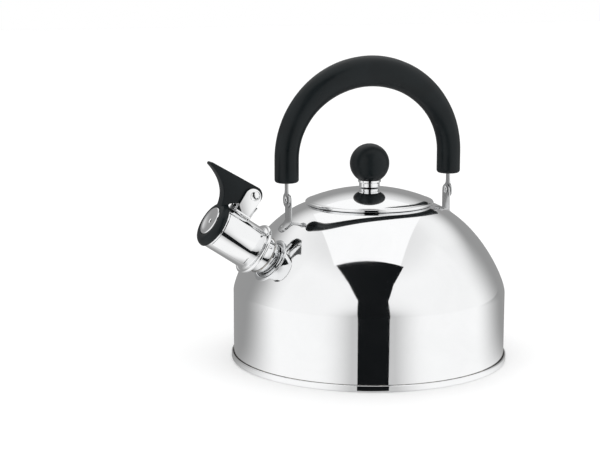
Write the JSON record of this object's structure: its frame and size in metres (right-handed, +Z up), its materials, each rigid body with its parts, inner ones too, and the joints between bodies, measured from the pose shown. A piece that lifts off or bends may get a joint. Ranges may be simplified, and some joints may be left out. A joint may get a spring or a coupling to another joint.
{
  "type": "whistling kettle",
  "caption": "Stovetop whistling kettle: domed steel body, lift-off lid with a ball knob, swinging bail handle and a sprung lever cap over the spout.",
  "frame": {"origin": "centre of the base's flat resting face", "axes": "+Z up, -X towards the spout, bail pivot axis along X"},
  "size_m": [0.2512, 0.2176, 0.2378],
  "materials": {
    "mirror_steel": "mirror-polished stainless steel",
    "satin_steel": "plain pressed steel, lightly polished",
    "disc_aluminium": "turned and matt",
    "insert_brass": "machined",
    "bakelite": "black phenolic moulding with a soft satin sheen"
  },
  "bodies": {
    "body": {"body_shell": "mirror_steel", "base_pan": "mirror_steel", "heat_disc": "disc_aluminium", "spout_stub": "mirror_steel", "front_bail_bracket": "satin_steel", "rear_bail_bracket": "satin_steel", "front_bail_rivet": "satin_steel", "rear_bail_rivet": "satin_steel"},
    "bail": {"grip": "bakelite", "front_leg_strip": "satin_steel", "rear_leg_strip": "satin_steel"},
    "lid": {"lid_shell": "mirror_steel", "lid_skirt": "mirror_steel", "knob_ferrule": "mirror_steel", "knob_ball": "bakelite", "knob_insert": "insert_brass", "knob_screw": "satin_steel", "knob_washer": "satin_steel"},
    "whistle_unit": {"whistle_tube": "mirror_steel", "friction_sleeve": "satin_steel", "lever_bracket": "mirror_steel", "lever_pin": "satin_steel", "lever_spring": "satin_steel"},
    "lever": {"whistle_lever": "bakelite", "whistle_cup": "mirror_steel", "whistle_back_plate": "satin_steel"}
  },
  "joints": [
    {"name": "bail_swing", "type": "hinge", "parent": "body", "child": "bail", "pos_m": [0, 0, 0.12923], "axis": [1, 0, 0], "range_deg": [-100, 100]},
    {"name": "lid_lift", "type": "slide", "parent": "body", "child": "lid", "axis": [0, 0, 1], "range_m": [0, 0.04]},
    {"name": "whistle_pull", "type": "slide", "parent": "body", "child": "whistle_unit", "axis": [-0.8329, 0, 0.5534], "range_m": [0, 0.03]},
    {"name": "lever_open", "type": "hinge", "parent": "whistle_unit", "child": "lever", "pos_m": [-0.09963, 0, 0.13498], "axis": [0, 1, 0], "range_deg": [0, 65], "stiffness_Nm_per_rad": 0.06, "springref_deg": -28.65, "deforming": ["lever_spring"]}
  ]
}
